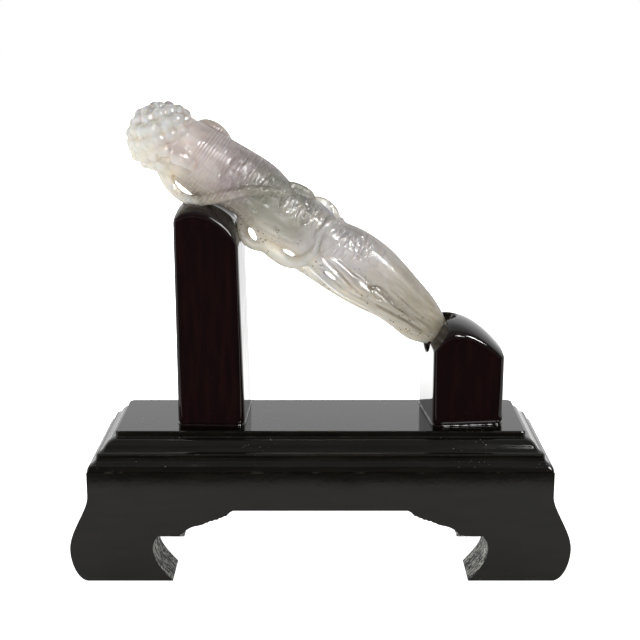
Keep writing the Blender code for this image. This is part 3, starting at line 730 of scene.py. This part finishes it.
def jade_markings_and_light_flecks(tree, place, tint):
    """Milky and murky veins, stained furrows, flecks of painted light on the underside, and dark
    specks.
    """
    along, _, up = split(place)
    veins = noise(stretched(place, (0.35, 1, 1)), 260.0, 4.0, Distortion=1.2)
    tint = blend(band(veins, 0.54, 0.70, 0.0, 0.35), tint, "efece6")
    tint = blend(band(veins, 0.44, 0.30, 0.0, 0.35), tint, "9c9c90")
    carved = put(tree, "ShaderNodeAttribute", attribute_name="furrow").outputs["Fac"]
    stained = times(band(carved, 0.15, 0.50), band(along, 0.045, 0.078, 0.25, 0.70),
                    band(veins, 0.62, 0.40, 0.3, 1.0))
    tint = blend(stained, tint, "837a66")
    # Painted light: pale flecks, only on the underside, add to the glow from below.
    underlight_flecks = band(noise(place, 900.0, 3.0), 0.58, 0.70, 0.0, 0.5)
    tint = blend(times(underlight_flecks, band(up, 0.001, -0.006)), tint, "f4efe2")
    specks = put(tree, "ShaderNodeGroup", {
        "Spacing per metre": 1700.0, "Size": 0.50, "Patchiness": 0.49,
        "Patches per metre": 130.0}, node_tree=specks_group)
    low_part = times(band(along, 0.022, 0.030), band(up, 0.004, 0.001), 0.8)
    return blend(times(specks.outputs["Mask"], low_part), tint, "5f5a48")


# %% The jade's relief, and the whole material


def jade_relief(tree, place):
    """Rings round the upper trunk, hatching further down, and a low wobble all over."""
    along, _, up = split(place)
    rings = put(tree, "ShaderNodeTexWave", {
        "Vector": place, "Scale": 360.0, "Distortion": 1.6, "Detail": 2.0,
        "Detail Scale": 0.6}, bands_direction="X")
    ringed = times(rings.outputs["Fac"], band(along, 0.007, 0.011),
                   band(along, 0.030, 0.024), 0.12)
    hatch = noise(stretched(place, (1.0, 0.22, 0.22)), 1100.0, 2.0, Distortion=0.4)
    hatched = times(band(hatch, 0.42, 0.58), band(along, 0.020, 0.026),
                    band(along, 0.069, 0.056), band(up, 0.0010, 0.0040), 0.20)
    wobble = times(noise(place, 220.0, 3.0), 0.09)
    return calculate("ADD", calculate("ADD", ringed, hatched), wobble)


def make_jade():
    material, tree, shader = new_material("pale_jadeite")
    place = root_place(tree)
    cloud = noise(place, 90.0, 5.0, Distortion=0.6)
    bump = put(tree, "ShaderNodeBump", {
        "Height": jade_relief(tree, place), "Strength": 1.0, "Distance": MM})
    polished = band(cloud, 0.35, 0.65, 0.10, 0.14)
    dull = band(split(place)[0], 0.050, 0.072, 0.0, 0.09)
    feed(tree, shader, {
        "Base Color": jade_markings_and_light_flecks(tree, place, jade_colour_and_painted_glow(tree, place, cloud)),
        "Normal": bump.outputs["Normal"], "Roughness": calculate("ADD", polished, dull),
        "IOR": 1.66, "Transmission Weight": 0.28, "Subsurface Weight": 1.0,
        "Subsurface Radius": (1.0, 0.88, 0.72), "Subsurface Scale": 5.5 * MM})
    return material


jade = make_jade()
finish_piece(root, jade, "ginseng_carving")

# %% [markdown]
# ## The posts
# Each post is a block of wood with rounded corners and a top that is domed both ways. It
# is made upright at the origin, cut with the same round tools that make the real seats,
# and skinned with small voxels, so that every cut edge gets the soft round lip of thick
# lacquer. Only then does it lean and turn into its place.

# %% Post shapes
POST_DEPTH, POST_CORNER, POST_FOOT_ROUND = 23.2, 2.0, 0.9
GROOVE = [(4, 1.2, 0, 9.2), (12, 1.4, 0, 9.5), (18, 1.7, 0, 9.7), (24, 2.4, 0, 9.3),
          (30, 2.4, 0, 9.3), (37, 2.0, 0, 9.3)]
CHANNEL = [(12.0, -0.2, 0, 6.6), (6.5, -0.2, 0, 6.0), (3.2, 0.0, 0, 5.2), (1.4, 0.2, 0, 4.2),
           (0.4, 0.3, 0, 2.8), (-0.5, 0.4, 0, 1.0)]
SLOT = [(14.0, 4.0, 0, 5.0), (7.0, 4.0, 0, 5.0), (4.4, 4.0, 0, 4.6), (3.0, 4.0, 0, 3.6),
        (2.2, 4.0, 0, 1.8)]
SAWN_CORNER = [(24.0, 6.0, -3.4, 21.0), (6.4, 6.0, 0, 21.0)]


def rounded_plan(half_x, half_y, radius, steps=8, between=10):
    """A rectangle with round corners as (x, y) rows, with points along its sides too."""
    corners = []
    for number, (side_x, side_y) in enumerate([(1, 1), (-1, 1), (-1, -1), (1, -1)]):
        for step in range(steps + 1):
            angle = math.pi / 2 * (number + step / steps)
            corners.append((side_x * (half_x - radius) + radius * math.cos(angle),
                            side_y * (half_y - radius) + radius * math.sin(angle)))
    rows = []
    for number, corner in enumerate(corners):
        rows.append(corner)
        if number % (steps + 1) == steps:
            following = corners[(number + 1) % len(corners)]
            rows += [tuple(np.array(corner) + (np.array(following) - corner) * k / between)
                     for k in range(1, between)]
    return np.array(rows)


def ring_stack(name, rings):
    """Skin a stack of rings with equal point counts, and close both ends."""
    shape = bmesh.new()
    loops = [[shape.verts.new(point) for point in ring] for ring in rings]
    count = len(loops[0])
    for lower, upper in zip(loops, loops[1:]):
        for k in range(count):
            shape.faces.new((lower[k], lower[(k + 1) % count], upper[(k + 1) % count], upper[k]))
    shape.faces.new(list(reversed(loops[0])))
    shape.faces.new(loops[-1])
    return as_mesh(name, shape)


def at_height(plan, height):
    return np.column_stack([plan, np.full(len(plan), height)])


# %% The block of a post


def post_block(width, height, crown_share, roundness, falls):
    """A rounded block, in metres, whose top falls by so much to the left, right and front.

    Roundness 1 gives round shoulders, 0 a slope that steepens evenly.
    """
    fall_left, fall_right, fall_depth = falls
    half_x, half_y = width / 2, POST_DEPTH / 2
    crown = -half_x + width * crown_share

    def top(rows):
        offset = rows[:, 0] - crown
        reach = np.where(offset < 0, crown + half_x, half_x - crown)
        fall = np.where(offset < 0, fall_left, fall_right)
        share = (offset / reach) ** 2
        rounded = 1 - np.sqrt(np.clip(1 - share, 0, 1))
        drop = fall * (roundness * rounded + (1 - roundness) * share)
        deep = fall_depth * (1 - np.sqrt(np.clip(1 - (rows[:, 1] / half_y) ** 2, 0, 1)))
        return height - drop - deep

    rings = []
    for angle in np.linspace(0, math.pi / 2, 5):
        inset = POST_FOOT_ROUND * (1 - math.sin(angle))
        plan = rounded_plan(half_x - inset, half_y - inset, POST_CORNER)
        rings.append(at_height(plan, POST_FOOT_ROUND * (1 - math.cos(angle))))
    plan = rounded_plan(half_x, half_y, POST_CORNER)
    for share in np.cos(np.linspace(0, math.pi / 2, 22)[:-1]):
        pulled = np.column_stack([crown * (1 - share) + plan[:, 0] * share, plan[:, 1] * share])
        rings.append(np.column_stack([pulled, top(pulled)]))
    return ring_stack("post_block", [ring * MM for ring in rings])


def seat_line(seat):
    """A seat's stations, measured from the root's tip, as stations from its head."""
    return [(TIP_STATION - before, *rest) for before, *rest in seat]


def post_place(centre_x, floor, turn_angle):
    return (Matrix.Translation((centre_x, SET_BACK, floor))
            @ Matrix.Rotation(math.radians(turn_angle), 4, "Z"))


def lean_over(mesh, amount, width):
    """Move points along X, more so towards the +X side and the top."""
    rows = positions(mesh)
    rows[:, 0] += amount * (rows[:, 0] + width * MM / 2) * rows[:, 2]
    set_positions(mesh, rows)


# %% Cut, skin, lean and turn a post
POST_VOXEL = 0.30 * MM


def make_post(name, width, height, top, taper, centre_x, turn_angle, tools):
    """Tools are (member, extra radius) pairs. The taper leans the +X side in."""
    place = post_place(centre_x, POST_FLOOR, turn_angle)
    lean = taper / (width * height) / MM
    post = add_object(name, post_block(width, height, *top))
    cutters = []
    for member, extra in tools:
        cutter = add_object("tool", line_mesh("tool", member_lines([member], extra)))
        run_tree(cutter, sweep_tree, Sides=64)
        cutter.data.transform(place.inverted())
        lean_over(cutter.data, lean, width)
        cut_away(post, "Seat", cutter)
        cutters.append(cutter)
    voxel_skin(post, "Lacquer skin", POST_VOXEL)
    soften(post, "Soft lips", 2)
    settle(post)
    remove(*cutters)
    lean_over(post.data, -lean, width)
    post.data.transform(place)
    post.data.shade_smooth()
    return post


tall_post = make_post("tall_upright", TALL_WIDTH, TALL_HEIGHT, (0.30, 1.0, (4.0, 11.5, 3.2)),
                      1.4, TALL_X, TALL_TURN,
                      [(GROOVE, 0.0), (UPPER_ROOTLET, 0.4), (LITTLE_ROOTLET, 0.4)])
short_post = make_post("short_upright", SHORT_WIDTH, SHORT_HEIGHT, (0.31, 0.0, (3.3, 7.7, 3.8)),
                       0.0, SHORT_X, SHORT_TURN,
                       [(seat_line(seat), 0.0) for seat in (CHANNEL, SLOT, SAWN_CORNER)])

# %% [markdown]
# ## Black lacquer
# The wood is stained nearly black with a little red, under a clear glossy coat. A coat
# layer on the Principled shader gives the sharp reflections. Brushed lacquer is never
# quite flat, so a low, wide bump makes the reflections swim, and dust that fell in while
# it was wet shows as pale specks, most of them towards the base's two ends.

# %% The lacquer materials


def make_lacquer(name, stain, rubbed, dust, waves, rough, coat, edge_width, grain):
    """Stain: two colours. Rubbed: colour, share. Dust: size, patchiness. Waves: two heights.

    Rough: the wood's least and most roughness. Coat: the lacquer's. Grain: its stretch.
    """
    material, tree, shader = new_material(name)
    where = object_place(tree)
    fibres = noise(stretched(where, grain), 700.0, 4.0)
    tint = blend(band(fibres, 0.35, 0.7), *stain)
    edges = put(tree, "ShaderNodeGroup", {"Width": edge_width}, node_tree=edge_group)
    tint = blend(times(edges.outputs["Mask"], rubbed[1]), tint, rubbed[0])
    near_end = band(calculate("ABSOLUTE", split(where)[0]), 0.052, 0.061,
                    dust[1], dust[1] - 0.14)
    specks = put(tree, "ShaderNodeGroup", {
        "Spacing per metre": 1500.0, "Size": dust[0], "Patchiness": near_end,
        "Patches per metre": 45.0}, node_tree=specks_group)
    upward = split(put(tree, "ShaderNodeNewGeometry").outputs["Normal"])[2]
    settled = times(specks.outputs["Mask"], band(upward, 0.15, 0.45))
    tint = blend(times(settled, 0.75), tint, "9a9894")
    sweep = noise(where, 55.0, 2.0)
    fine = times(noise(where, 900.0, 2.0), waves[1])
    height = calculate("ADD", calculate("ADD", times(sweep, waves[0]), fine),
                       times(settled, 0.03))
    bump = put(tree, "ShaderNodeBump", {"Height": height, "Distance": MM}).outputs["Normal"]
    feed(tree, shader, {"Base Color": tint, "Normal": bump, "Coat Normal": bump,
                        "Roughness": band(sweep, 0.35, 0.65, *rough),
                        "Specular IOR Level": 0.0, "Coat Weight": 1.0,
                        "Coat Roughness": coat})
    return material


post_lacquer = make_lacquer(
    "post_lacquer", stain=("150c0d", "1e0f10"), rubbed=("4a4543", 0.3), dust=(0.12, 0.64),
    waves=(0.25, 0.004), rough=(0.30, 0.42), coat=0.05, edge_width=0.35 * MM,
    grain=(1.0, 1.0, 0.10))
base_lacquer = make_lacquer(
    "base_lacquer", stain=("0f0e0b", "171511"), rubbed=("5b5650", 0.45), dust=(0.22, 0.52),
    waves=(0.07, 0.006), rough=(0.30, 0.45), coat=0.09, edge_width=0.30 * MM,
    grain=(0.12, 1.0, 1.0))
finish_piece(tall_post, post_lacquer, "tall_post")
finish_piece(short_post, post_lacquer, "short_post")

# %% [markdown]
# ## The base
# The base is a board sawn to an outline with two hoof feet in front, an arch sawn through
# its ends, and a moulding run round its top. The outline is drawn once for the right half
# and mirrored. A narrow bevel catches the light on every edge, as lacquered wood does.

# %% Outline of the board
BASE_HALF = 62.65
BASE_DEEP = 42.7


def bezier(start, pull_start, pull_end, end, steps):
    """Points along a cubic curve, without its first point."""
    u = np.linspace(0, 1, steps + 1)[1:, None]
    corners = [np.array(c) for c in (start, pull_start, pull_end, end)]
    curve = (corners[0] * (1 - u) ** 3 + corners[1] * 3 * u * (1 - u) ** 2
             + corners[2] * 3 * u ** 2 * (1 - u) + corners[3] * u ** 3)
    return [tuple(row) for row in curve]


def half_outline():
    """Right half of the board's front, from its top down the foot and up into the arch."""
    half, lip, bulge = BASE_HALF, 43.95, 67.95
    rows = [(half, 31.2), (half, 24.5)]
    rows += bezier(rows[-1], (half, 20.5), (bulge, 14.5), (bulge, 9.1), 18)
    rows += bezier(rows[-1], (bulge, 5.0), (66.2, 0.55), (63.55, 0.0), 12)
    rows.append((lip - 3.7, 0.0))
    rows += bezier(rows[-1], (lip - 1.7, 2.4), (lip + 1.5, 5.6), (lip + 1.5, 9.1), 12)
    rows += bezier(rows[-1], (lip + 1.5, 10.9), (lip + 0.9, 12.2), (lip, 13.1), 6)
    rows.append((lip - 4.6, 13.1))
    rows += bezier(rows[-1], (lip - 7.2, 13.1), (lip - 7.0, 15.6), (lip - 11.0, 16.1), 12)
    for step in range(1, 12):
        share = step / 12
        ragged = 0.13 * math.sin(step * 2.9) + 0.08 * math.sin(step * 5.3)
        rows.append((lip - 11.0 - 7.6 * share, 16.1 + 2.8 * share + ragged))
    rows += [(lip - 18.6, 18.9), (lip - 19.5, 19.9), (lip - 20.4, 20.4)]
    return rows


def sawn_board(name, outline, low, high, turn_angle=0.0):
    """A flat outline in X and Z, in millimetres, extruded along Y from low to high."""
    shape = bmesh.new()
    front = [shape.verts.new((x * MM, low * MM, z * MM)) for x, z in outline]
    back = [shape.verts.new((x * MM, high * MM, z * MM)) for x, z in outline]
    shape.faces.new(front)
    shape.faces.new(list(reversed(back)))
    for k in range(len(outline)):
        following = (k + 1) % len(outline)
        shape.faces.new((front[following], front[k], back[k], back[following]))
    mesh = as_mesh(name, shape)
    mesh.transform(Matrix.Rotation(turn_angle, 4, "Z"))
    return mesh


# %% Saw the board and its side arch
right = half_outline()
outline = right + [(-x, z) for x, z in reversed(right)]
board = add_object("board", sawn_board("board", outline, -BASE_DEEP / 2, BASE_DEEP / 2))
ARCH_HALF, ARCH_SPRING, ARCH_TOP = 8.25, 8.0, 15.0
side = [(ARCH_HALF, -5.0), (ARCH_HALF, ARCH_SPRING)]
side += bezier(side[-1], (ARCH_HALF, 12.97), (ARCH_HALF * 0.6, ARCH_TOP), (0.0, ARCH_TOP), 12)
side += [(-x, z) for x, z in reversed(side[:-1])]
side_arch = add_object("side_arch", sawn_board("side_arch", side, -80, 80, math.pi / 2))
cut_away(board, "Side arch", side_arch)
ease = board.modifiers.new("Eased edges", "BEVEL")
ease.width = 0.28 * MM
ease.segments = 2
ease.limit_method = "ANGLE"
ease.angle_limit = math.radians(38)
settle(board)
remove(side_arch)

# %% The moulding round the top
PLATE_INSET, APRON_TOP = 6.9, 31.2
MOULDING = [(0.16, -0.30), (0.16, 0.00), (0.03, 0.00), (0.00, 0.03), (0.02, 0.10),
            (0.08, 0.17), (0.17, 0.21), (0.24, 0.24), (0.30, 0.29), (0.325, 0.36),
            (0.33, 0.44), (0.37, 0.475), (0.42, 0.49), (0.50, 0.515), (0.57, 0.56),
            (0.63, 0.63), (0.70, 0.70), (0.78, 0.755), (0.88, 0.795), (0.97, 0.815),
            (1.00, 0.84), (1.00, 0.96), (1.02, 0.985), (1.06, 1.00)]
rise = base_high.z / MM - APRON_TOP
rings = []
for inset, height in MOULDING:
    plan = rounded_plan(BASE_HALF - inset * PLATE_INSET, BASE_DEEP / 2 - inset * PLATE_INSET,
                        1.3, steps=6, between=2)
    rings.append(at_height(plan, APRON_TOP + rise * height) * MM)
moulding = ring_stack("moulding", rings)
base = add_object("lacquered_base", join_meshes("lacquered_base", [board.data, moulding]))
remove(board)
base.data.shade_smooth()
base.data.set_sharp_from_angle(angle=math.radians(24))
flat = base.modifiers.new("Flat faces stay flat", "WEIGHTED_NORMAL")
flat.weight = 90
flat.keep_sharp = True
settle(base)
print("the base has", len(base.data.polygons), "faces")

# %% [markdown]
# ## Bare sawn wood in the arches
# The inner faces of the feet were never lacquered smooth. They show grey, furry grain
# with dark lines that follow the saw, and dark spots where fibres were torn out. The
# grain is a noise stretched along the saw's way.

# %% The sawn material, and the faces that wear it


def make_sawn_wood():
    material, tree, shader = new_material("sawn_wood")
    where = object_place(tree)
    lines = noise(stretched(where, (0.30, 1.0, 0.30)), 1200.0, 3.0, Roughness=0.70)
    tint = blend(band(lines, 0.42, 0.58), "1c1c1a", "eeeee6")
    torn = band(noise(where, 1500.0, 1.0), 0.52, 0.58, 0.0, 0.75)
    bump = put(tree, "ShaderNodeBump", {"Height": lines, "Distance": 0.3 * MM})
    feed(tree, shader, {
        "Base Color": blend(torn, tint, "161614"), "Normal": bump.outputs["Normal"],
        "Roughness": band(lines, 0.3, 0.7, 0.55, 0.8)})
    return material


base.data.materials.clear()
base.data.materials.append(base_lacquer)
base.data.materials.append(make_sawn_wood())
FOOT_INSIDE, SAWN_TOP = (40, 46), 12.95
bare = 0
for face in base.data.polygons:
    x, y, z = face.center / MM
    inner = (FOOT_INSIDE[0] < abs(x) < FOOT_INSIDE[1] and z < SAWN_TOP
             and face.normal.x * x < -0.01)
    side_face = abs(y) < ARCH_HALF + 0.1 and z < ARCH_TOP + 0.1 and abs(face.normal.x) < 0.3
    if abs(face.normal.y) < 0.5 and inner or side_face and z > 0.1:
        face.material_index = 1
        bare += 1
print(bare, "faces of bare wood")
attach(base, "root")
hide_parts("stand_base")

# %% [markdown]
# ## Lacquer at the posts' feet
# Where a post meets the base, the last coat of lacquer has run into a thin rounded line.
# The line follows the post's plan, so the sweep tree makes it from a closed line.

# %% Two thin lines of lacquer


def lacquer_line(name, width, centre_x, turn_angle):
    plan = rounded_plan(width / 2 - 0.35, POST_DEPTH / 2 - 0.35, POST_CORNER, 6, 12)
    number = np.arange(len(plan))
    bead = 0.50 + 0.06 * np.sin(number * 1.7) + 0.04 * np.sin(number * 0.61)
    rows = np.column_stack([at_height(plan, 0.05), bead]) * MM
    mesh = line_mesh(name, [rows], closed=True)
    mesh.transform(post_place(centre_x, base_high.z, turn_angle))
    piece = add_object(name, mesh)
    run_tree(piece, sweep_tree, Sides=12, Finish=post_lacquer)
    piece.data.shade_smooth()
    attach(piece, "root")
    return piece


lacquer_line("lacquer_line_tall", TALL_WIDTH, TALL_X, TALL_TURN)
lacquer_line("lacquer_line_short", SHORT_WIDTH, SHORT_X, SHORT_TURN)

# %% [markdown]
# ## Table and cards
# The piece was shown on a white sheet with light from all round. Two cards that only
# reflections can see shape what the lacquer mirrors: a dark one in front stands for the
# unlit room and keeps the fronts black, and a grey one at the far left keeps the
# moulding's left face from burning out.

# %% The table and the cards


def flat_sheet(name, low, high, material, height=0.0):
    mesh = bpy.data.meshes.new(name)
    corners = [(low[0], low[1], height), (high[0], low[1], height),
               (high[0], high[1], height), (low[0], high[1], height)]
    mesh.from_pydata(corners, [], [(0, 1, 2, 3)])
    mesh.materials.append(material)
    sheet = add_object(name, mesh)
    return sheet


def plain_material(name, code):
    material, tree, shader = new_material(name)
    feed(tree, shader, {"Base Color": code, "Roughness": 0.85, "Specular IOR Level": 0.0})
    return material, tree, shader


# The sheet is lit from below, more so behind the piece, and the camera sees it burnt out.
sheet_white, tree, shader = plain_material("white_sheet", "dcdcda")
sheet_x, sheet_y = split(object_place(tree))[:2]
far_left = times(band(sheet_y, 0.03, 0.12), band(sheet_x, 0.03, -0.04, 0.0, 2.0))
glow = calculate("ADD", band(sheet_y, -0.05, 0.35, 0.31, 1.10), far_left)
seen = put(tree, "ShaderNodeLightPath").outputs["Is Camera Ray"]
feed(tree, shader, {"Emission Color": "ffffff",
                    "Emission Strength": calculate("ADD", glow, seen)})
flat_sheet("table", (-4.0, -4.0), (4.0, 4.0), sheet_white)

CARD_HEIGHT = 0.4 * MM
card_dark, tree, shader = plain_material("card", "0a0a0a")
card_y = split(object_place(tree))[1]
feed(tree, shader, {"Alpha": band(card_y, -0.0895, -0.0985)})
card_pale, tree, shader = plain_material("side_card", "a8a8a8")
feed(tree, shader, {"Emission Color": "ffffff", "Emission Strength": 0.7})
for card in (flat_sheet("dark_card", (-0.7, -1.6), (0.7, -0.089), card_dark, CARD_HEIGHT),
             flat_sheet("side_card", (-0.9, 0.02), (-0.085, 1.4), card_pale, CARD_HEIGHT)):
    card.visible_camera = False
    card.visible_diffuse = False
    card.visible_shadow = False
    card.visible_transmission = False

# %% [markdown]
# ## Light and camera
# The light comes from the sky and the glowing sheet. Two window panes to the right in
# front give only the glints on the polished stone, and a low, wide light in front, which
# nothing mirrors, stands for what the sheet bounces up.

# %% Soft light
world_light = bpy.data.worlds.new("studio")
bpy.context.scene.world = world_light
world_light.use_nodes = True
sky = world_light.node_tree
toward_y, toward_z = split(put(sky, "ShaderNodeTexCoord").outputs["Generated"])[1:]
behind = times(band(toward_y, -0.10, 0.40, 0.07, 1.10),
               band(toward_z, 0.45, 0.90, 1.0, 0.45))
level = calculate("MAXIMUM", behind, band(toward_z, 0.55, 0.90, 0.0, 0.23))
level = calculate("MAXIMUM", level, put(sky, "ShaderNodeLightPath").outputs["Is Camera Ray"])
sky.links.new(blend(level, "000000", "ffffff"), sky.nodes["Background"].inputs["Color"])


def window_pane(name, direction, energy, width=0.13, height=0.42):
    """A soft light, a metre from the piece in a direction, that faces it."""
    pane = bpy.data.lights.new(name, "AREA")
    pane.shape = "RECTANGLE"
    pane.size, pane.size_y = width, height
    pane.energy = energy
    lamp = add_object(name, pane)
    aim = Vector((0.0, 0.0, 0.09))
    lamp.location = aim + Vector(direction).normalized()
    lamp.rotation_euler = (aim - lamp.location).to_track_quat("-Z", "Y").to_euler()
    return lamp


for name, direction, energy in (("right_pane", (0.66, -0.50, 0.56), 10.0),
                                ("middle_pane", (0.36, -0.72, 0.64), 4.5)):
    pane = window_pane(name, direction, energy)
    pane.visible_diffuse = False
bounce = window_pane("bounce_from_table", (-0.25, -0.85, -0.05), 6.6, 0.9, 0.06)
bounce.visible_glossy = False

# %% The camera, as the photograph was taken
PHOTO_PIXELS, LENS_PIXELS, HORIZON_PIXELS = 640, 1250, 308
SENSOR_WIDTH = 36.0
camera = add_object("camera", bpy.data.cameras.new("camera"))
camera.location = (0.0, -0.3357, 0.1508)
camera.rotation_euler = (math.pi / 2 - math.atan(HORIZON_PIXELS / LENS_PIXELS), 0.0, 0.0)
camera.data.sensor_width = SENSOR_WIDTH
camera.data.lens = SENSOR_WIDTH * LENS_PIXELS / PHOTO_PIXELS
camera.data.shift_x = -0.5 / PHOTO_PIXELS
camera.data.clip_start = 0.01
bpy.context.scene.camera = camera
bpy.context.scene.view_settings.view_transform = "Standard"
